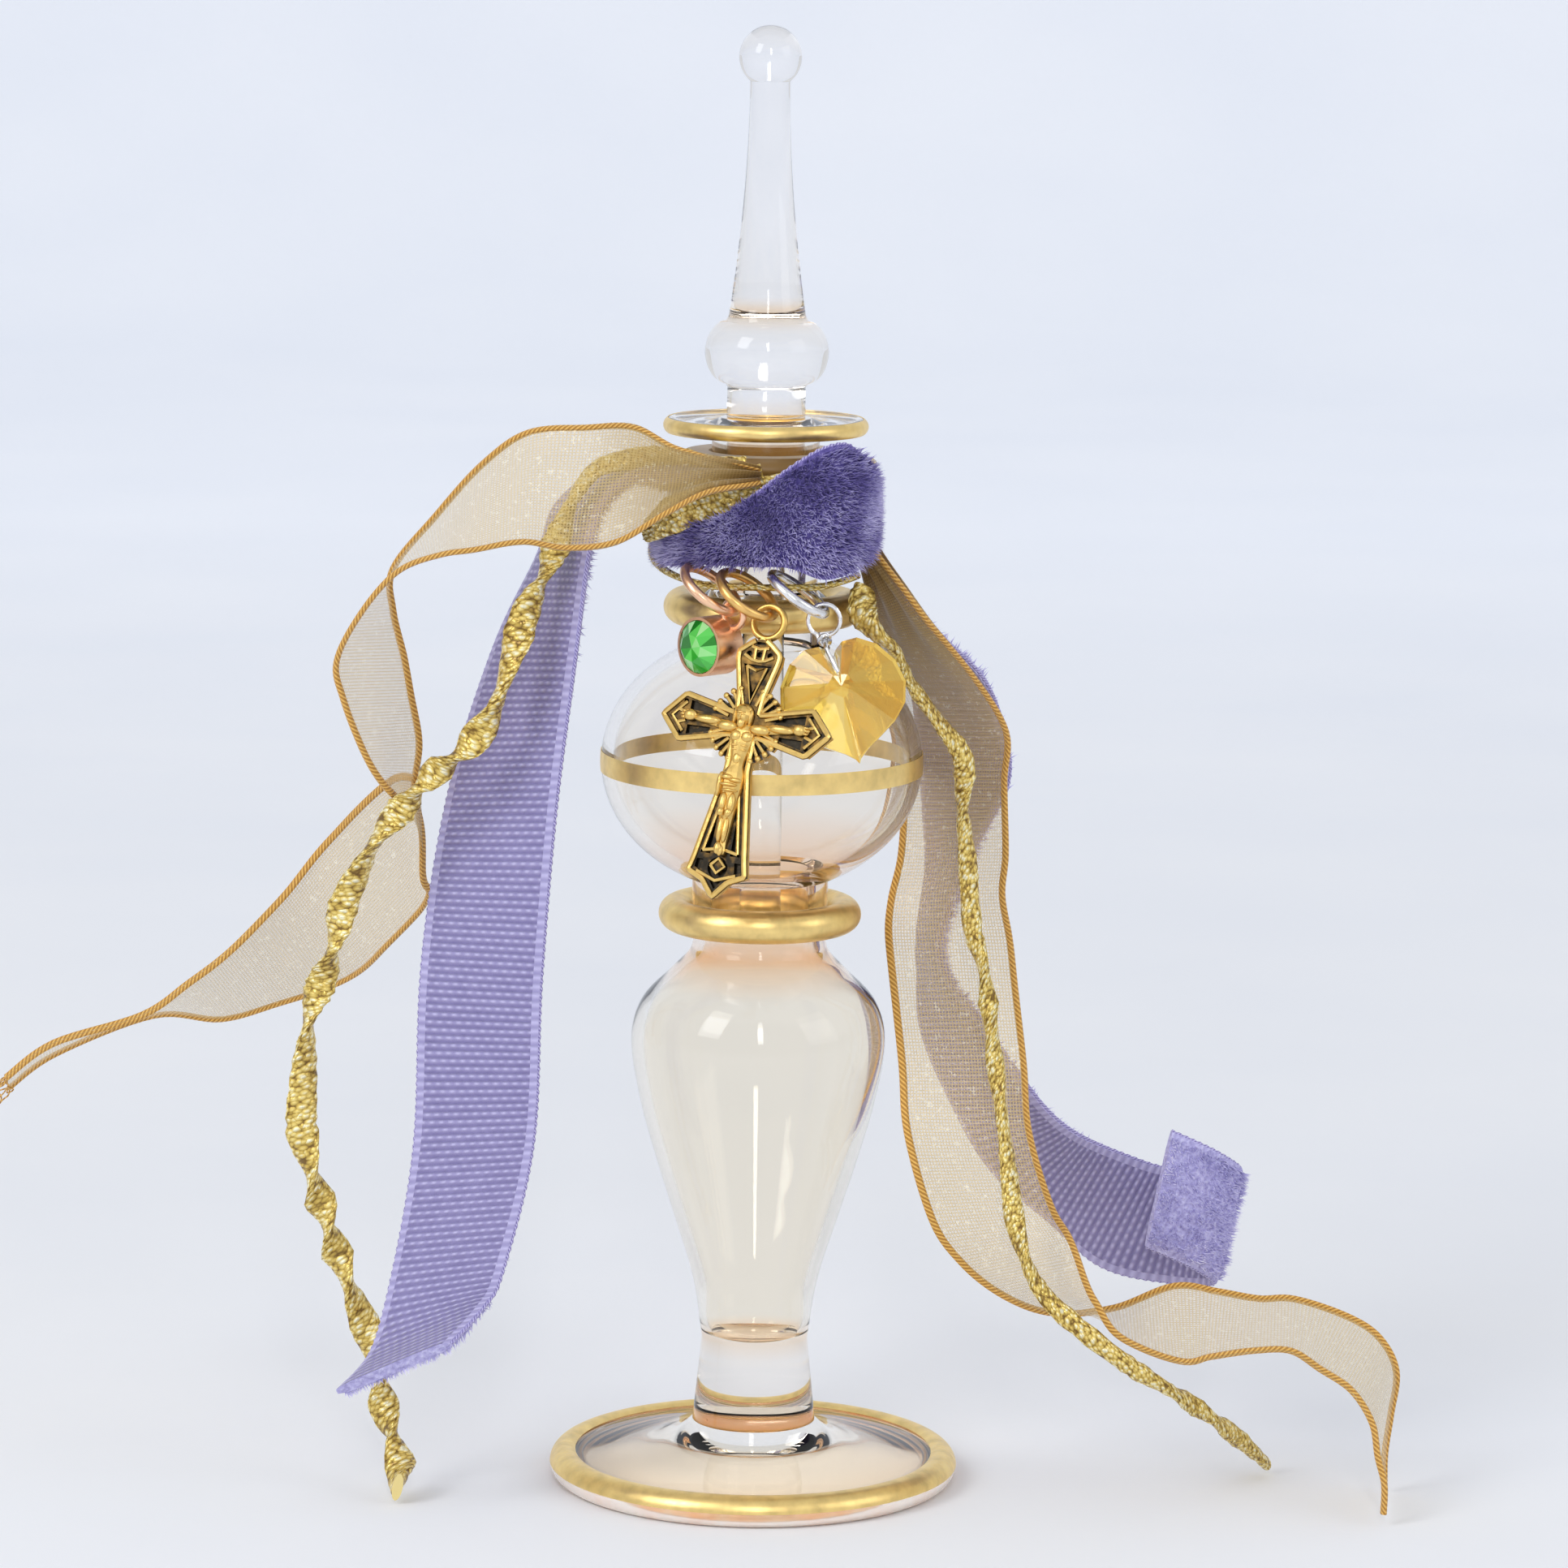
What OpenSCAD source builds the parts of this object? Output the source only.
// Holy water bottle: a lampworked glass bottle with a dabber stopper, dressed at the neck
// with velvet, organza and gold braid, and hung with three charms on jump rings.
// Millimetres, +Z up, origin at the centre of the foot's resting face, front towards -Y.

/* [Foot and stem] */
// Outer radius of the foot's rolled rim
foot_r = 16.9; // [15:0.1:20]
// Radius of the rim's roll
foot_roll_r = 1.25; // [0.9:0.05:1.5]
// Height of the foot where the stem begins
foot_h = 5; // [4.5:0.1:7]
// Radius of the stem at the foot
stem_foot_r = 5.1; // [4.6:0.1:6]
// Height of the stem
stem_h = 7; // [5:0.1:12]

/* [Vase] */
// Radius where the vase meets the stem
vase_foot_r = 4.4; // [4:0.1:5]
// Widest radius of the vase
vase_r = 10.5; // [9:0.1:12]
// Radius of the vase's neck
vase_neck_r = 5.4; // [5.2:0.1:6]
// Height of the vase
vase_h = 34.4; // [32:0.1:40]
// Height of the widest place above the vase's foot
vase_belly_h = 25; // [20:0.5:27]
// Wall of the hollow glass
glass_wall = 1; // [0.7:0.05:1.2]
// Solid glass under the vase's cavity
vase_floor = 1.6; // [1:0.1:3]

/* [Globe and rings] */
// Outer radius of the ring between vase and globe
waist_ring_r = 8.35; // [7.5:0.05:9]
// Height of the ring between vase and globe
waist_ring_h = 2.7; // [2.2:0.1:3.2]
// Radius of the opening between vase and globe
throat_r = 4; // [3.5:0.1:4.1]
// Widest radius of the globe
globe_r = 13.2; // [12:0.1:13.5]
// Half height of the globe's round form
globe_half_h = 10.8; // [10:0.1:11.2]
// Height of the globe with its two short necks
globe_h = 22.7; // [22.4:0.1:25]
// Radius of the globe's short necks
globe_neck_r = 5.6; // [5.3:0.1:6]
// Outer radius of the ring under the neck
neck_ring_r = 8.2; // [7.4:0.1:8.4]
// Height of the ring under the neck
neck_ring_h = 2.8; // [2.2:0.1:3]

/* [Neck and mouth] */
// Outer radius of the neck
neck_r = 4.4; // [4.2:0.05:4.5]
// Height of the neck
neck_h = 12.8; // [12:0.1:15]
// Outer radius of the mouth's flange
lip_r = 8.3; // [7.5:0.1:8.6]
// Height of the mouth's flange
lip_h = 1.3; // [1.1:0.1:1.8]

/* [Stopper] */
// Radius of the plug at the mouth
plug_r = 3.2; // [2.8:0.05:3.3]
// How much thinner the plug is at its lower end
plug_taper = 0.3; // [0.1:0.05:0.6]
// Depth of the plug below the mouth
plug_depth = 11; // [8:0.5:13]
// Clearance between plug and bore
plug_gap = 0.08; // [0.05:0.01:0.12]
// Height of plug seen above the mouth
plug_show = 2.75; // [2:0.05:4]
// Widest radius of the knop
knop_r = 5.05; // [4.2:0.05:6]
// Height of the knop
knop_h = 5.15; // [4:0.05:6.5]
// Radius at the foot of the spire
spire_foot_r = 3.2; // [2.6:0.05:3.6]
// Radius at the tip of the spire
spire_tip_r = 1.62; // [1.3:0.02:2]
// Height of the spire
spire_h = 19.3; // [14:0.1:24]
// Radius of the ball
ball_r = 2.55; // [2.2:0.05:3.2]
// Radius of the dabber rod
dabber_r = 1.7; // [1:0.05:2.2]
// Length of the dabber rod below the plug
dabber_len = 32; // [15:0.5:60]

/* [Ribbons and braid] */
// Width of the velvet ribbon
velvet_w = 10; // [8:0.5:11]
// Thickness of the velvet ribbon with its pile
velvet_t = 1.1; // [0.8:0.1:1.2]
// Width of the organza ribbon
organza_w = 10.6; // [8:0.2:11]
// Thickness of the organza ribbon at its piped edges
organza_t = 0.4; // [0.3:0.05:0.5]
// Outer radius of the organza turns round the neck
organza_wrap_r = 6.9; // [6:0.1:6.9]
// Height of the organza turns
organza_wrap_h = 8; // [6:0.1:8.2]
// Radius of the braid where it hangs free
braid_r = 0.8; // [0.6:0.05:0.9]
// Radius of the braid drawn tight round the neck
tight_braid_r = 0.5; // [0.4:0.05:0.55]

/* [Jump rings] */
// Radius of a jump ring to the middle of its wire
ring_r = 2.6; // [2.5:0.05:2.8]
// Radius of a jump ring's wire
ring_wire_r = 0.4; // [0.3:0.02:0.42]
// Clearance of a charm's loop on its ring
hang_gap = 0.2; // [0.1:0.05:0.25]

/* [Crystal charm] */
// Outer radius of the cup
cup_r = 2.4; // [2.1:0.05:2.5]
// Depth of the cup
cup_depth = 2.7; // [2.2:0.1:3]
// Wall of the cup
cup_wall = 0.25; // [0.2:0.05:0.35]
// Radius of the cup's loop to the middle of its wire
cup_loop_r = 1.1; // [1:0.05:1.2]
// Radius of the cup's loop wire
cup_wire_r = 0.28; // [0.22:0.02:0.3]

/* [Crucifix] */
// Length from the loop's centre to the lower tip
cross_len = 22.5; // [20:0.5:25]
// Half width across the arms
cross_reach = 7.2; // [6.5:0.1:7.4]
// Distance from the loop's centre to the arms
cross_arm_drop = 8.5; // [8:0.1:9]
// Thickness of the plate
cross_t = 1.1; // [0.9:0.05:1.2]
// Height of the raised border above the plate's ground
cross_border = 0.35; // [0.2:0.05:0.4]
// Inner radius of the loop
cross_loop_r = 1.05; // [0.95:0.05:1.1]
// Radius of the loop's wire
cross_wire_r = 0.28; // [0.24:0.02:0.3]
// Outer radius of the rays
ray_r = 3.05; // [2.6:0.05:3.3]

/* [Heart charm] */
// Width of the heart
heart_w = 10.3; // [9:0.1:10.6]
// Height of the heart
heart_h = 10; // [9:0.1:10.4]
// Thickness of the heart
heart_t = 3.6; // [3:0.1:3.8]
// Radius of the hole through the heart
heart_hole_r = 0.45; // [0.35:0.05:0.6]
// Radius of the silver wire
wire_r = 0.18; // [0.14:0.01:0.2]
// Radius of the wire's loop to the middle of the wire
wire_loop_r = 1.3; // [1.1:0.05:1.35]

/* [Hidden] */
$fn = 64;

// Heights of the glass elements, each standing on the one below
z_stem = foot_h;
z_vase = z_stem + stem_h;
z_waist = z_vase + vase_h;
z_globe = z_waist + waist_ring_h;
z_neck_ring = z_globe + globe_h;
z_neck = z_neck_ring + neck_ring_h;
z_lip = z_neck + neck_h;
z_mouth = z_lip + lip_h;
z_knop = z_mouth + plug_show;
z_spire = z_knop + knop_h;
z_ball = z_spire + spire_h + sqrt(ball_r * ball_r - spire_tip_r * spire_tip_r);
z_plug = z_mouth - plug_depth;

// Height of the knot, from which the ribbons' and charms' heights are counted
tie_above_neck_ring = 5.4;
z_tie = z_neck + tie_above_neck_ring;

glass = "lightgoldenrodyellow";
gilt = "goldenrod";
velvet = "mediumpurple";
organza = "tan";
gold_braid = "gold";
copper = "lightsalmon";
brass = "darkgoldenrod";
silver = "silver";

// How far a cut runs past the face it opens
cut_over = 1;

// Vectors
function unit(v) = v / norm(v);
function polar(az, r, z) = [r * sin(az), -r * cos(az), z];

// A smooth curve through points of any size, with a number of steps between each two
function catmull(a, b, c, d, t) =
    0.5 * (2 * b + (c - a) * t + (2 * a - 5 * b + 4 * c - d) * t * t
    + (3 * b - a - 3 * c + d) * t * t * t);
function curve(p, steps) =
    let (n = len(p))
    [
        for (i = [0 : n - 2], s = [0 : steps - 1])
            catmull(p[max(i - 1, 0)], p[i], p[i + 1], p[min(i + 2, n - 1)], s / steps),
        p[n - 1]
    ];
function tangent(p, i) = unit(p[min(i + 1, len(p) - 1)] - p[max(i - 1, 0)]);

// Triangles that join equal rings of points, with the two ends closed; opposite sides are split
// along facing diagonals, so that a thin strip keeps its thickness where it twists
function skin(rings) =
    let (n = len(rings), m = len(rings[0]))
    [
        [for (i = [0 : n - 1], q = rings[i]) q],
        [
            for (j = [1 : m - 2]) [0, j, j + 1],
            for (i = [0 : n - 2], j = [0 : m - 1])
                let (a = i * m + j, b = i * m + (j + 1) % m)
                each j < m / 2 ? [[a, a + m, b], [b, a + m, b + m]] : [[a, a + m, b + m], [a, b + m, b]],
            for (j = [1 : m - 2]) [(n - 1) * m, (n - 1) * m + j + 1, (n - 1) * m + j]
        ]
    ];

module solid_of(rings) {
    s = skin(rings);
    polyhedron(s[0], s[1]);
}

// One sideways direction for each tangent, carried along without twist
function carried(t, i, u) =
    i == len(t) ? [] : let (v = unit(u - (u * t[i]) * t[i])) concat([v], carried(t, i + 1, v));

// A round cord along points
module cord(p, r) {
    sides = 8;
    t = [for (i = [0 : len(p) - 1]) tangent(p, i)];
    u = carried(t, 0, unit(cross(t[0], [1, 2, 3])));
    solid_of([
        for (i = [0 : len(p) - 1])
            let (v = cross(u[i], t[i]))
            [for (k = [0 : sides - 1]) p[i] + r * (cos(360 * k / sides) * u[i] + sin(360 * k / sides) * v)]
    ]);
}

// A flat ribbon; each station is its centre, the direction across it and the share of its width
function strip(stations, width, thick, steps) =
    let (
        p = curve([for (s = stations) s[0] + [0, 0, z_tie]], steps),
        w = curve([for (s = stations) unit(s[1])], steps),
        share = curve([for (s = stations) s[2]], steps)
    )
    [
        for (i = [0 : len(p) - 1])
            let (
                across = unit(w[i]) * width * share[i] / 2,
                up = unit(cross(w[i], tangent(p, i))) * thick / 2
            )
            [p[i] + across + up, p[i] + across - up, p[i] - across - up, p[i] - across + up]
    ];

module ring_of_wire(r, wire) {
    rotate_extrude() translate([r, 0]) circle(wire);
}

// Foot: a flat resting face, a rolled rim and a dome that rises to the stem
foot_rest_r = foot_r - foot_roll_r;
dome_start = 1.75 * foot_roll_r;
dome_run = 5.5;
dome_rise = 0.7;
foot_flare = [1.6, 1.2];
foot_dome = [
    [foot_rest_r, dome_start],
    [foot_rest_r - dome_run, dome_start + dome_rise],
    [stem_foot_r + foot_flare[0], foot_h - foot_flare[1]],
    [stem_foot_r, foot_h]
];

module foot() {
    color(glass) {
        rotate_extrude() polygon(concat([[0, 0], [foot_rest_r, 0]], curve(foot_dome, 6), [[0, foot_h]]));
        color(gilt) translate([0, 0, foot_roll_r]) ring_of_wire(foot_rest_r, foot_roll_r);
    }
}

module stem() {
    color(glass) translate([0, 0, z_stem]) cylinder(h = stem_h, r1 = stem_foot_r, r2 = vase_foot_r);
}

// Vase: an inverted pear, drawn by how far it has swelled at each share of its height
vase_swell = [[0, 0], [0.2, 0.13], [0.4, 0.38], [0.6, 0.64], [0.8, 0.87], [1, 1]];
vase_shoulder = [[0.36, 0.84], [0.63, 0.38], [0.82, 0.06], [1, 0]];
vase_line = curve(concat(
    [for (s = vase_swell) [vase_foot_r + (vase_r - vase_foot_r) * s[1], vase_belly_h * s[0]]],
    [for (s = vase_shoulder)
        [vase_neck_r + (vase_r - vase_neck_r) * s[1], vase_belly_h + (vase_h - vase_belly_h) * s[0]]]
), 4);
cavity_round = [0.7, 0.35];
vase_cavity = [
    for (p = vase_line) if (p[1] > vase_floor + glass_wall)
        [max(p[0] - glass_wall, throat_r), p[1]]
];

module vase() {
    color(glass) translate([0, 0, z_vase]) rotate_extrude() polygon(concat(
        [[0, 0]], vase_line,
        [for (i = [len(vase_cavity) - 1 : -1 : 0]) vase_cavity[i]],
        [[vase_cavity[0][0] * cavity_round[0], vase_floor + glass_wall * cavity_round[1]], [0, vase_floor]]
    ));
}

// A rolled glass ring on a short tube
module rolled_ring(outer, h, tube, bore) {
    roll = h / 2;
    difference() {
        union() {
            translate([0, 0, roll]) ring_of_wire(outer - roll, roll);
            translate([0, 0, roll / 2]) cylinder(h = roll, r = outer - roll);
            cylinder(h = h, r = tube);
        }
        translate([0, 0, -cut_over]) cylinder(h = h + 2 * cut_over, r = bore);
    }
}

module waist_ring() {
    color(gilt) translate([0, 0, z_waist])
        rolled_ring(waist_ring_r, waist_ring_h, max(vase_neck_r, globe_neck_r), throat_r);
}

module neck_ring() {
    color(gilt) translate([0, 0, z_neck_ring])
        rolled_ring(neck_ring_r, neck_ring_h, globe_neck_r, throat_r);
}

// Globe: an oval bubble with a short neck above and below
module globe_form(r, half_h, neck, h) {
    reach = acos(neck / r);
    steps = 24;
    rotate_extrude() polygon(concat(
        [[0, -h / 2], [neck, -h / 2]],
        [for (i = [0 : steps]) let (a = reach * (2 * i / steps - 1)) [r * cos(a), half_h * sin(a)]],
        [[neck, h / 2], [0, h / 2]]
    ));
}

module globe() {
    color(glass) translate([0, 0, z_globe + globe_h / 2]) difference() {
        globe_form(globe_r, globe_half_h, globe_neck_r, globe_h);
        globe_form(globe_r - glass_wall, globe_half_h - glass_wall, throat_r, globe_h + 2 * cut_over);
    }
}

// Radius of the ground bore, and of the plug in it, at a height
function plug_at(z) = plug_r - plug_taper * (z_mouth - z) / plug_depth;

module ground_bore() {
    low = z_neck - cut_over;
    high = z_mouth + cut_over;
    translate([0, 0, low])
        cylinder(h = high - low, r1 = plug_at(low) + plug_gap, r2 = plug_at(high) + plug_gap);
}

module neck() {
    color(glass) difference() {
        translate([0, 0, z_neck]) cylinder(h = neck_h, r = neck_r);
        ground_bore();
    }
}

// Lip: a flange with a rolled edge and a dished top
module lip() {
    roll = lip_h / 2;
    color(glass) difference() {
        union() {
            color(gilt) translate([0, 0, z_lip + roll]) ring_of_wire(lip_r - roll, roll);
            translate([0, 0, z_lip]) cylinder(h = lip_h, r = neck_r);
            translate([0, 0, z_lip + roll / 2]) cylinder(h = roll, r = lip_r - roll);
        }
        ground_bore();
    }
}

// Stopper: tapered plug, knop, spire and ball
spire_sweep = 1.9;

module stopper() {
    steps = 16;
    knop_mid = z_knop + knop_h / 2;
    ball_start = -acos(spire_tip_r / ball_r);
    color(glass) rotate_extrude() polygon(concat(
        [[0, z_plug], [plug_at(z_plug), z_plug], [plug_at(z_mouth), z_mouth], [plug_r, z_knop]],
        [for (i = [1 : steps - 1]) let (a = 180 * i / steps - 90)
            [plug_r + (knop_r - plug_r) * cos(a), knop_mid + knop_h / 2 * sin(a)]],
        [for (i = [0 : steps]) let (t = i / steps)
            [spire_tip_r + (spire_foot_r - spire_tip_r) * pow(1 - t, spire_sweep), z_spire + spire_h * t]],
        [for (i = [1 : steps - 1]) let (a = ball_start + (90 - ball_start) * i / steps)
            [ball_r * cos(a), z_ball + ball_r * sin(a)]],
        [[0, z_ball + ball_r]]
    ));
}

module dabber() {
    color(glass) union() {
        translate([0, 0, z_plug - dabber_len + dabber_r]) cylinder(h = dabber_len - dabber_r, r = dabber_r);
        translate([0, 0, z_plug - dabber_len + dabber_r]) sphere(dabber_r);
    }
}

// Organza turns: gathered into soft ridges round the neck
organza_neck_gap = 0.25;
organza_below_tie = 2;

module organza_wrap() {
    ridges = 4;
    steps = 8;
    low = z_tie - organza_below_tie;
    deep = 0.35;
    inner = neck_r + organza_neck_gap;
    color(organza) rotate_extrude() polygon(concat(
        [[inner, low]],
        [for (i = [0 : ridges * steps]) let (s = i / (ridges * steps))
            [organza_wrap_r - deep * (1 + cos(360 * ridges * s)) / 2, low + organza_wrap_h * s]],
        [[inner, low + organza_wrap_h]]
    ));
}

// Velvet turn: at each bearing its outer radius and the heights of its two edges above the knot
velvet_turn = [
    [-90, 8.3, -2.0, -0.6],
    [-60, 9.1, -1.7, -0.4],
    [-40, 9.9, -1.5, 0.4],
    [-20, 10.6, -1.5, 1.6],
    [-5, 11.0, -1.8, 3.4],
    [10, 11.3, -2.3, 5.6],
    [25, 11.4, -3.3, 7.2],
    [38, 11.2, -3.0, 7.4],
    [50, 10.6, -2.2, 6.0],
    [65, 9.6, -1.5, 4.6],
    [85, 8.5, -1.2, 3.6],
    [120, 8.2, -1.5, 3.6],
    [160, 8.2, -1.8, 3.8],
    [200, 8.2, -1.8, 3.8],
    [240, 8.2, -1.8, 2.4],
    [266, 8.3, -2.0, -0.4]
];

module velvet_wrap() {
    turn = curve(velvet_turn, 3);
    color(velvet) solid_of([
        for (s = turn)
            [
                polar(s[0], s[1], z_tie + s[2]), polar(s[0], s[1], z_tie + s[3]),
                polar(s[0], s[1] - velvet_t, z_tie + s[3]), polar(s[0], s[1] - velvet_t, z_tie + s[2])
            ]
    ]);
}

// Braid turns: bearing, radius and height above the knot, from the knot's front round to the charms
charm_turn_r = 9.3;
charm_turn_z = -4.1;
braid_turns = [
    [-62, 10.3, -0.4],
    [-45, 10.0, 1.4],
    [-25, 9.0, 3.2],
    [0, 8.5, 4.3],
    [30, 8.5, 5.0],
    [60, 8.4, 5.4],
    [90, 8.6, 5.0],
    [120, 8.9, 3.8],
    [150, 8.9, 2.8],
    [180, 8.9, 1.8],
    [210, 8.9, 0.6],
    [240, 9.0, -0.8],
    [270, 9.1, -2.2],
    [300, 9.2, -3.4],
    [330, charm_turn_r, charm_turn_z],
    [345, charm_turn_r, charm_turn_z],
    [360, charm_turn_r, charm_turn_z],
    [375, charm_turn_r, charm_turn_z],
    [390, charm_turn_r, charm_turn_z],
    [415, 9.3, -3.5]
];

braid_route = [for (s = curve(braid_turns, 3)) polar(s[0], s[1], z_tie + s[2])];
half_turn = floor(len(braid_route) * 180 / (braid_turns[len(braid_turns) - 1][0] - braid_turns[0][0]));
braid_turn_gap = min([
    for (i = [0 : len(braid_route) - half_turn - 1], j = [i + half_turn : len(braid_route) - 1])
        norm(braid_route[i] - braid_route[j])
]) - 2 * tight_braid_r;
echo(braid_turn_gap = braid_turn_gap);

module braid_wrap() {
    color(gold_braid) cord(braid_route, tight_braid_r);
}

// Free tails of the ribbons: centre from the knot's height, direction across, share of the width
velvet_left = [
    [[-4.6, -6.6, 4], [0.3, -0.6, 0.6], 0.3],
    [[-8, -5.4, 4.6], [0.3, -0.9, 0.2], 0.65],
    [[-12, -4.6, 4.3], [0.3, -0.95, 0.1], 1],
    [[-15, -4.8, 1.8], [0.4, -0.9, 0.1], 1],
    [[-16.3, -5, -2.5], [0.45, -0.9, 0.1], 1],
    [[-18.5, -5.5, -10], [0.7, -0.7, 0.1], 1],
    [[-21, -6.5, -22], [0.9, -0.4, 0.1], 1],
    [[-22.5, -8, -36], [1, -0.2, 0], 1],
    [[-23, -9, -50], [1, -0.2, 0.1], 1],
    [[-25, -12, -60.5], [0.9, -0.3, 0.2], 1],
    [[-26.5, -14, -64.5], [0.9, -0.1, 0.4], 1],
    [[-29, -16.5, -67], [0.9, 0, 0.4], 1]
];
velvet_right = [
    [[8.6, 3.6, 1], [0, -0.3, 1], 0.4],
    [[10.3, 2.4, -1.5], [0.2, -0.7, 0.6], 0.7],
    [[12.4, 1.6, -8], [0.4, -0.9, 0.1], 1],
    [[15, 5, -13], [0.6, -0.8, 0.1], 1],
    [[16.5, 8, -18], [0.7, -0.7, 0.1], 1],
    [[17, 9.5, -22.5], [0.7, -0.7, 0.1], 1],
    [[16, 11, -29], [0.4, -0.9, 0.3], 1],
    [[14.5, 11.5, -35], [0.2, -1, 0.2], 1],
    [[14.5, 11.5, -39], [0.2, -1, 0.2], 1],
    [[16.5, 11, -44], [0.5, -0.8, 0.2], 1],
    [[20, 10.5, -50], [0.7, -0.7, 0.2], 1],
    [[23, 10, -54], [0.6, -0.6, 0.5], 1],
    [[27, 10, -57], [0.4, -0.5, 0.8], 1],
    [[31.5, 9, -59.5], [0.4, -0.1, 0.9], 1],
    [[36, 8, -60], [0.2, 0, 1], 1],
    [[39.5, 5.5, -59.5], [0.2, 0, 1], 1],
    [[37.5, 3, -57.5], [0.2, 0, 1], 1],
    [[33.5, 2, -55.5], [0.2, 0, 1], 1]
];
organza_left = [
    [[-0.4, -9.7, 4.9], [0, -0.5, -0.8], 0.12],
    [[-3.7, -10.5, 5], [-0.2, -0.7, -0.6], 0.33],
    [[-7.4, -11.1, 4.6], [-0.1, -0.7, -0.7], 0.65],
    [[-11, -11.2, 4.3], [-0.1, -0.5, -0.8], 1],
    [[-15, -11.5, 4], [-0.1, -0.4, -0.9], 1],
    [[-19, -11.5, 4], [0, -0.6, -0.8], 1],
    [[-22.5, -11.5, 2.5], [0, -0.8, -0.6], 1],
    [[-26, -11, 0], [0.1, -1, -0.2], 1],
    [[-29.5, -10, -3], [0.1, -1, 0.1], 1],
    [[-31, -9.5, -6.5], [-0.2, -1, 0.1], 1],
    [[-31.5, -9, -10.5], [-0.5, -0.9, 0.1], 1],
    [[-31, -8.5, -13.5], [-0.5, -0.9, 0.1], 1],
    [[-30, -7.5, -17.5], [-0.4, -0.9, 0.1], 1],
    [[-29.5, -6, -21], [-0.2, -0.9, 0.2], 1],
    [[-28.5, -3, -24], [-0.1, -0.9, 0.4], 1],
    [[-28, 1.5, -26], [0, -0.5, 0.9], 1],
    [[-29, 5, -27], [-0.3, -0.1, 1], 1],
    [[-31, 7.5, -29.5], [-0.5, 0, 0.9], 1],
    [[-34, 10, -33], [-0.5, 0, 0.9], 1],
    [[-37.5, 12, -37], [-0.5, -0.4, 0.8], 1],
    [[-42.5, 13, -40.5], [-0.3, -0.7, 0.6], 1],
    [[-47, 14, -43], [-0.2, -0.9, 0.5], 1],
    [[-52, 15, -44.5], [0, -1, 0.2], 1],
    [[-60, 15, -47.5], [0.1, -1, 0.3], 1],
    [[-64, 15, -50.5], [0.1, -1, 0.3], 1]
];
organza_right = [
    [[8.5, -2.8, -2], [0.3, -0.9, 0.2], 0.3],
    [[9.7, -2.7, -4.5], [0.4, -0.9, 0.2], 0.55],
    [[11.1, -1, -7.5], [0.5, -0.9, 0.1], 0.85],
    [[13.5, 2, -12.5], [0.7, -0.7, 0.1], 1],
    [[16, 4, -17.5], [0.8, -0.6, 0.1], 1],
    [[16, 5.5, -22], [0.8, -0.6, 0.1], 1],
    [[16, 5.5, -28], [0.8, -0.5, 0.1], 1],
    [[15.5, 5, -32], [0.9, -0.4, 0.1], 1],
    [[16, 4, -37], [1, 0, 0], 1],
    [[17, 2, -45], [1, 0, 0], 1],
    [[17.5, 0, -50.5], [1, 0, 0], 1],
    [[19.5, -1, -57], [1, -0.1, 0.1], 1],
    [[21.5, -2, -60], [0.9, -0.4, 0.3], 1],
    [[24, -3, -63], [0.6, -0.7, 0.3], 1],
    [[26.5, -3.5, -64.5], [0.3, -0.9, 0.3], 1],
    [[30, -4, -65.5], [0, -1, 0], 1],
    [[35, -4, -65.5], [0, -0.9, -0.4], 1],
    [[38, -4, -65.5], [-0.1, -0.9, -0.3], 1],
    [[41.5, -4, -65.5], [-0.1, -1, -0.2], 1],
    [[44.5, -4, -65.5], [-0.1, -1, -0.2], 1],
    [[48, -4, -67], [-0.3, -0.9, -0.2], 1],
    [[50.5, -5, -68.5], [-0.3, -0.9, -0.2], 1],
    [[52, -6, -71], [-0.3, -1, -0.2], 1],
    [[52, -7, -74], [-0.2, -1, -0.1], 1],
    [[52, -8, -76.5], [-0.1, -1, 0], 1],
    [[52, -8, -79], [-0.1, -1, 0], 1]
];

module organza_tail_left() { color(organza) solid_of(strip(organza_left, organza_w, organza_t, 2)); }
module organza_tail_right() { color(organza) solid_of(strip(organza_right, organza_w, organza_t, 2)); }
module velvet_tail_left() { color(velvet) solid_of(strip(velvet_left, velvet_w, velvet_t, 3)); }
module velvet_tail_right() { color(velvet) solid_of(strip(velvet_right, velvet_w, velvet_t, 3)); }

// Free tails of the braid: points from the knot's height
braid_left = [
    [-1.6, -7.6, 6.2], [-5, -7.4, 6.8], [-8.5, -7.6, 7], [-11.6, -7.9, 6.4], [-13.8, -8.1, 4.9],
    [-15.6, -8.3, 2.2], [-16.6, -8.5, -0.6], [-17.4, -8.8, -3], [-19, -9.6, -6.2], [-20, -10.2, -9.5],
    [-21.5, -10.6, -14], [-23.5, -10.5, -17], [-27, -10, -20], [-29, -9.5, -22.5], [-31, -10, -25],
    [-33.5, -9.5, -30], [-34.5, -8.5, -34], [-35.5, -8, -37], [-36.5, -8, -40], [-37, -8, -45.5],
    [-37, -8, -50], [-35.5, -7, -56], [-33.5, -6, -62.5], [-31.5, -5, -68], [-30.5, -5.5, -73],
    [-29, -8, -77], [-29, -11, -79]
];
braid_right = [
    [8.2, -5, -4.6], [8, -6, -6.4], [9.2, -6.2, -8.2], [10.5, -5, -9.4], [12, -3, -12.5],
    [14.5, -2, -16], [16.5, -1.5, -19], [16.5, -1, -23], [17, -1.5, -27.5], [17.5, -2, -33],
    [18.5, -2.5, -36.5], [19.5, -4, -44], [20.5, -5.5, -51], [21.5, -7, -57.5], [23.5, -8, -62],
    [27.5, -9, -65.5], [31.5, -8.5, -68.5], [35, -6.5, -71], [39.5, -2.5, -75], [43, 2.5, -79]
];

module braid_tail_left() {
    color(gold_braid) cord([for (p = braid_left) p + [0, 0, z_tie]], braid_r);
}

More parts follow.
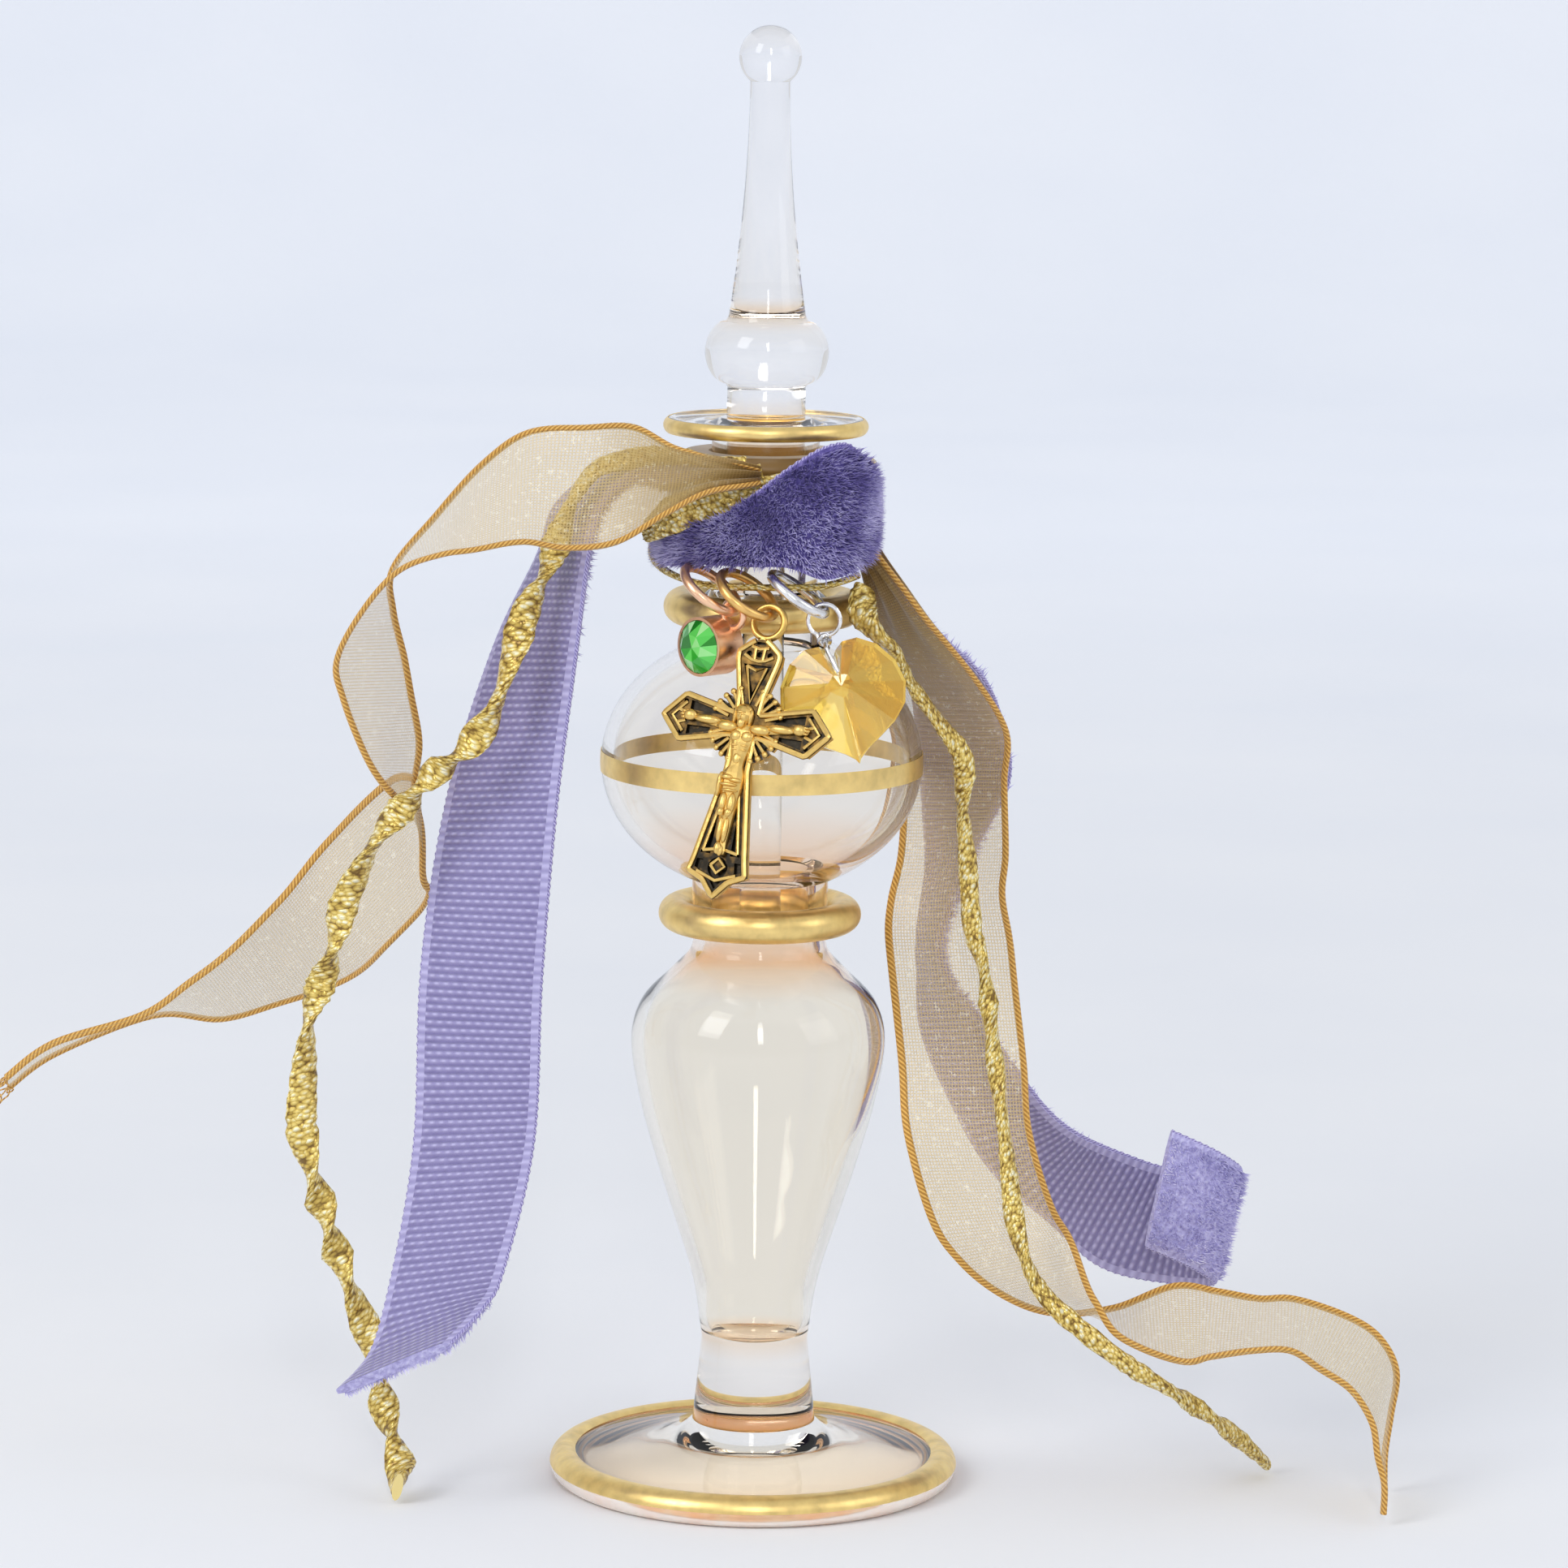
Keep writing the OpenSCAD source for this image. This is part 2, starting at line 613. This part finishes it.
module braid_tail_right() {
    color(gold_braid) cord([for (p = braid_right) p + [0, 0, z_tie]], braid_r);
}

// Jump rings: bearing on the braid, lean, turn, where the centre lies from the braid, and how far
copper_place = [-24, 39, -25, -80, 1.35];
brass_place = [-7, 39, -30, -60, 1.4];
silver_place = [15, 35, -10, -55, 1.2];
function ring_x(p) = [cos(p[2]) * cos(p[1]), sin(p[2]) * cos(p[1]), -sin(p[1])];
function ring_y(p) = [-sin(p[2]), cos(p[2]), 0];
function ring_centre(p) =
    polar(p[0], charm_turn_r, z_tie + charm_turn_z) + p[4] * (cos(p[3]) * ring_x(p) + sin(p[3]) * ring_y(p));
// The lowest place on a ring's wire, where its charm hangs
function hang_point(p) = ring_centre(p) + ring_r * ring_x(p);

module jump_ring(p) {
    translate(ring_centre(p)) rotate([0, p[1], p[2]]) ring_of_wire(ring_r, ring_wire_r);
}

module copper_jump_ring() { color(copper) jump_ring(copper_place); }
module brass_jump_ring() { color(brass) jump_ring(brass_place); }
module silver_jump_ring() { color(silver) jump_ring(silver_place); }

// Crystal charm: its loop hangs on the copper ring, and the cup faces left and forward
cup_turn = -45;
cup_roll = 35;
cup_loop_back = 2.1;
cup_loop_sink = 0.25;
cup_floor = 1;
cup_loop_at = hang_point(copper_place) - [0, 0, cup_loop_r - cup_wire_r - ring_wire_r - hang_gap];
stone_r = cup_r - cup_wall;
stone_crown = 0.9;
stone_deep = cup_depth - cup_floor;
stone_seat = 0.3;
stone_table = 0.55;
stone_culet = 0.2;
stone_gap = 0.02;

// Places what is drawn with the cup's mouth at the origin facing -Y and its loop above
module at_cup() {
    translate(cup_loop_at) rotate([0, 0, cup_turn]) rotate([0, cup_roll, 0])
        translate([0, -cup_loop_back, -(cup_r + cup_loop_r - cup_loop_sink)])
            children();
}

module crystal_cup() {
    color(copper) at_cup() {
        difference() {
            union() {
                rotate([-90, 0, 0]) cylinder(h = cup_depth, r = cup_r);
                translate([0, cup_loop_back, cup_r + cup_loop_r - cup_loop_sink])
                    rotate([90, 0, 0]) ring_of_wire(cup_loop_r, cup_wire_r);
            }
            translate([0, -cut_over, 0]) rotate([-90, 0, 0])
                cylinder(h = stone_deep + cut_over, r = stone_r + stone_gap);
        }
    }
}

// Stone: a table and crown facets above the girdle, pavilion facets below
module green_crystal() {
    facets = 12;
    color("limegreen") at_cup() rotate([-90, 0, 0]) union() {
        translate([0, 0, -stone_crown])
            cylinder(h = stone_crown, r1 = stone_r * stone_table, r2 = stone_r, $fn = facets);
        cylinder(h = stone_seat, r = stone_r, $fn = facets);
        translate([0, 0, stone_seat])
            cylinder(h = stone_deep - stone_seat, r1 = stone_r, r2 = stone_r * stone_culet, $fn = facets);
    }
}

// Crucifix: hangs from the brass ring, leaning out over the heart and the globe
cross_lean = 4;
cross_yaw = -22;
charm_clear = 0.5;
cross_loop_mid = cross_loop_r + cross_wire_r;
cross_at = hang_point(brass_place) - [0, 0, cross_loop_r - ring_wire_r - hang_gap];

// The tilt at which the plate just clears the globe: a tangent from the loop to the globe's oval,
// worked out with the heights stretched until the oval is a circle
globe_stretch = globe_r / globe_half_h;
cross_out = cross_at[0] * sin(cross_yaw) - cross_at[1] * cos(cross_yaw);
cross_up = (cross_at[2] - z_globe - globe_h / 2) * globe_stretch;
cross_reach_angle = asin((globe_r + cross_t / 2 + charm_clear) / norm([cross_out, cross_up]));
cross_tilt = atan(tan(cross_reach_angle - atan2(cross_out, cross_up)) * globe_stretch);

// Half of the upright: half widths with drops below the loop, below the arms and above the tip
cross_head = [[0, cross_loop_mid], [0.9, 1.9], [1.75, 2.6], [1.75, 3.2]];
cross_shaft = [[1.1, -2.6], [0.9, 0], [0.9, 3.7]];
cross_foot = [[2.2, 2.9], [2.45, 1.9], [1.1, 1.3], [0, 0]];
// Half of one arm: distances back from its tip with half heights
cross_arm = [[1.7, 1.85], [0, 0], [1.7, -1.85]];
arm_root = [1.2, 0.9];

module cross_outline() {
    for (side = [0, 1]) mirror([side, 0]) {
        polygon(concat(
            [for (q = cross_head) [q[0], -q[1]]],
            [for (q = cross_shaft) [q[0], -cross_arm_drop - q[1]]],
            [for (q = cross_foot) [q[0], q[1] - cross_len]]
        ));
        translate([0, -cross_arm_drop]) polygon(concat(
            [[0, arm_root[1]], arm_root],
            [for (q = cross_arm) [cross_reach - q[0], q[1]]],
            [[arm_root[0], -arm_root[1]], [0, -arm_root[1]]]
        ));
    }
}

// Sunk places that stay dark: slot, dots and plaque of the head, channels and dots of the arms,
// channels of the shaft, and the cells of the foot
slot = [0.8, 0.22];
slot_drop = 1.95;
dot_r = 0.24;
head_dots = [[-0.9, 2.75], [0, 2.75], [0.9, 2.75]];
plaque = [[-1.2, 3.6], [1.2, 3.6], [0, 6.7]];
plaque_rim = [[-0.75, 3.85], [0.75, 3.85], [0, 5.8]];
arm_dots = [[1.75, 1.25], [0.8, 0], [1.75, -1.25]];
arm_dot_r = 0.2;
upper_channel = [[5.4, 0.5], [5.4, 0.66], [2.2, 1.38], [2.2, 0.62]];
lower_channel = [[4.2, -0.6], [4.2, -0.9], [2.2, -1.38], [2.2, -0.62]];
shaft_channel = [[0.85, 7.7], [1.72, 3.4], [0.85, 3.4]];
corner_cell = [[1.35, 2.9], [1.9, 2.9], [2, 2.2], [1.5, 2]];
foot_cell_r = 0.85;
foot_cell_rise = 2.35;
foot_tongue = [0.6, 1];
tip_cell = [[-0.5, 1.3], [0.5, 1.3], [0, 0.6]];

module cross_cells() {
    translate([-slot[0] / 2, -slot_drop]) square(slot);
    for (q = head_dots) translate([q[0], -q[1]]) circle(dot_r, $fn = 16);
    difference() {
        polygon([for (q = plaque) [q[0], -q[1]]]);
        polygon([for (q = plaque_rim) [q[0], -q[1]]]);
    }
    for (side = [0, 1]) mirror([side, 0]) {
        translate([0, -cross_arm_drop]) {
            for (q = arm_dots) translate([cross_reach - q[0], q[1]]) circle(arm_dot_r, $fn = 12);
            for (channel = [upper_channel, lower_channel])
                polygon([for (q = channel) [cross_reach - q[0], q[1]]]);
        }
        translate([0, -cross_len]) {
            polygon(shaft_channel);
            polygon(corner_cell);
        }
    }
    translate([0, -cross_len]) {
        difference() {
            translate([0, foot_cell_rise]) circle(foot_cell_r, $fn = 24);
            translate([-foot_tongue[0] / 2, foot_cell_rise - foot_tongue[1] / 3]) square(foot_tongue);
        }
        polygon(tip_cell);
    }
}

// Places what is drawn with the loop's centre at the origin, front towards -Y
module at_cross() {
    translate(cross_at) rotate([0, 0, cross_yaw]) rotate([-cross_tilt, 0, 0]) rotate([0, cross_lean, 0])
        children();
}

// Stands a flat drawing up, from a depth behind the front
module upright(front, depth) {
    translate([0, front + depth, 0]) rotate([90, 0, 0]) linear_extrude(depth) children();
}

// Figure in low relief. Head and trunk: middle, drop below the arms, half width, half depth
figure_sides = 12;
figure_head = [
    [-0.35, -1.6, 0.2, 0.25], [-0.35, -1.4, 0.55, 0.6], [-0.3, -0.95, 0.72, 0.8], [-0.25, -0.5, 0.66, 0.8],
    [-0.2, -0.1, 0.45, 0.65], [-0.15, 0.2, 0.3, 0.4]
];
figure_trunk = [
    [0, 0, 0.5, 0.3], [0, 0.5, 1, 0.5], [0, 1.5, 0.98, 0.6], [-0.05, 2.6, 0.72, 0.5], [-0.1, 3.4, 0.68, 0.5],
    [-0.15, 4, 0.95, 0.65], [-0.15, 5.2, 1, 0.7], [-0.1, 6, 0.85, 0.65], [-0.05, 7.2, 0.72, 0.72],
    [0, 8.6, 0.52, 0.5], [0, 9.6, 0.42, 0.45], [0, 10.3, 0.5, 0.6], [0, 10.6, 0.35, 0.4]
];
// Arm: distance from the middle, rise, radius
figure_arm = [[0.4, -0.5, 0.35], [0.9, -0.35, 0.45], [2.8, -0.1, 0.38], [4.6, 0.15, 0.28], [5.1, 0.2, 0.34],
    [5.5, 0.2, 0.2]];

function turned_ring(k) = [cos(360 * k / figure_sides), sin(360 * k / figure_sides)];
function body_ring(q) = [
    for (k = [0 : figure_sides - 1])
        let (c = turned_ring(k))
        [q[0] + q[2] * c[0], -q[3] * c[1], -q[1]]
];
function arm_ring(q) = [
    for (k = [0 : figure_sides - 1])
        let (c = turned_ring(k))
        [q[0], q[2] * c[0], q[1] + q[2] * c[1]]
];

module figure() {
    translate([0, -cross_t / 2, -cross_arm_drop]) {
        for (part = [figure_head, figure_trunk]) solid_of([for (q = curve(part, 2)) body_ring(q)]);
        for (side = [0, 1]) mirror([side, 0, 0]) solid_of([for (q = curve(figure_arm, 2)) arm_ring(q)]);
    }
}

// Rays stand in the four corners between the arms, under a halo
rays = 5;
ray_fan = 13;
ray_w = 0.4;
ray_sink = 0.1;
halo_r = 2.5;
halo_w = 0.4;
halo_sink = 0.15;

module crucifix() {
    ground = -cross_t / 2 + cross_border;
    color(brass) at_cross() union() {
        upright(ground, cross_t - cross_border) cross_outline();
        upright(-cross_t / 2, cross_t) difference() {
            cross_outline();
            cross_cells();
        }
        rotate([90, 0, 0]) ring_of_wire(cross_loop_mid, cross_wire_r);
        translate([0, 0, -cross_arm_drop]) {
            for (quarter = [45, 135, 225, 315], i = [0 : rays - 1])
                rotate([0, quarter + ray_fan * (i - (rays - 1) / 2), 0])
                    translate([-ray_w / 2, -cross_t / 2 + ray_sink, 0])
                        cube([ray_w, cross_t - 2 * ray_sink, ray_r]);
            upright(ground, cross_t - cross_border - ray_sink) circle(halo_r);
            upright(-cross_t / 2 + halo_sink, cross_border) difference() {
                circle(halo_r);
                circle(halo_r - halo_w);
            }
        }
        figure();
    }
}

// Heart: facets run from the girdle to a smaller table on each face
heart_turn = 14.5;
heart_tilt = 12;
heart_hole_up = 2.6;
wire_loop_at = hang_point(silver_place) - [0, 0, wire_loop_r - wire_r - ring_wire_r - hang_gap];
heart_side = 1.75;
heart_drop = 6.45;
heart_clear = 3.62;
// The heart's middle keeps its clearance from the globe at its own height
heart_z = wire_loop_at[2] - heart_drop;
globe_there = globe_r * sqrt(1 - pow((heart_z - z_globe - globe_h / 2) / globe_half_h, 2));
heart_front = sqrt(pow(globe_there + heart_clear, 2) - pow(wire_loop_at[0] + heart_side, 2));
heart_off = [heart_side, -heart_front - wire_loop_at[1], -heart_drop];
girdle_t = 0.7;
table_share = 0.42;

// Outline of a heart of unit width and height, round its middle, cleft up
heart_cleft = 1.6;
heart_top = 11.65;
heart_tip = 12 + heart_cleft;
function heart_point(a) = [
    pow(sin(a), 3) / 2,
    (13 * cos(a) - heart_cleft * cos(2 * a) - 2 * cos(3 * a) - cos(4 * a) + (heart_tip - heart_top) / 2)
        / (heart_tip + heart_top)
];
heart_facets = 26;
function heart_ring(share, y) = [
    for (i = [0 : heart_facets - 1])
        let (q = heart_point(360 * (i + 0.5) / heart_facets) * share)
        [q[0] * heart_w, y, q[1] * heart_h]
];

module at_heart() {
    translate(wire_loop_at + heart_off) rotate([-heart_tilt, 0, 0]) rotate([0, -heart_turn, 0]) children();
}

module heart_crystal() {
    color("orange") at_heart() difference() {
        solid_of([
            heart_ring(table_share, heart_t / 2), heart_ring(1, girdle_t / 2),
            heart_ring(1, -girdle_t / 2), heart_ring(table_share, -heart_t / 2)
        ]);
        translate([0, heart_t, heart_hole_up]) rotate([90, 0, 0]) cylinder(h = 2 * heart_t, r = heart_hole_r);
    }
}

// A place in the heart, seen from the centre of its wire's loop
function turned(v) =
    [v[0] * cos(heart_turn) - v[2] * sin(heart_turn), v[1], v[0] * sin(heart_turn) + v[2] * cos(heart_turn)];
function tilted(v) =
    [v[0], v[1] * cos(heart_tilt) + v[2] * sin(heart_tilt), v[2] * cos(heart_tilt) - v[1] * sin(heart_tilt)];
function in_heart(v) = heart_off + tilted(turned(v));

// Silver wire: one length that comes through the heart's hole, loops and wraps round itself
module heart_wire() {
    loop_steps = 20;
    loop_turn = 335;
    wraps = 1.5;
    wrap_steps = 10;
    wrap_r = 2.3 * wire_r;
    wrap_pitch = 2.4 * wire_r;
    wrap_start = 0.2 * wire_loop_r;
    elbow_off = [0.2, heart_off[1] - 0.1, -0.75];
    hole_half = 1.4;
    loop_low = [0, 0, -wire_loop_r];
    elbow = loop_low + elbow_off;
    knee = in_heart([0, -hole_half, heart_hole_up]);
    heel = in_heart([0, hole_half, heart_hole_up]);
    way = unit(elbow - loop_low);
    left = unit(cross(way, [0, -1, 0]));
    front = cross(way, left);
    color(silver) translate(wire_loop_at) cord(concat(
        [heel, (heel + knee) / 2, knee, (knee + elbow) / 2, elbow, (loop_low + elbow) / 2],
        [for (i = [0 : loop_steps]) let (a = loop_turn * i / loop_steps) wire_loop_r * [sin(a), 0, -cos(a)]],
        [for (i = [0 : wraps * wrap_steps]) let (a = 360 * i / wrap_steps)
            loop_low + way * (wrap_start + wrap_pitch * i / wrap_steps)
                + wrap_r * (cos(a) * left + sin(a) * front)]
    ), wire_r);
}

foot();
stem();
vase();
waist_ring();
globe();
neck_ring();
neck();
lip();
stopper();
dabber();
organza_wrap();
organza_tail_left();
organza_tail_right();
velvet_wrap();
velvet_tail_left();
velvet_tail_right();
braid_wrap();
braid_tail_left();
braid_tail_right();
copper_jump_ring();
brass_jump_ring();
silver_jump_ring();
crystal_cup();
green_crystal();
crucifix();
heart_crystal();
heart_wire();
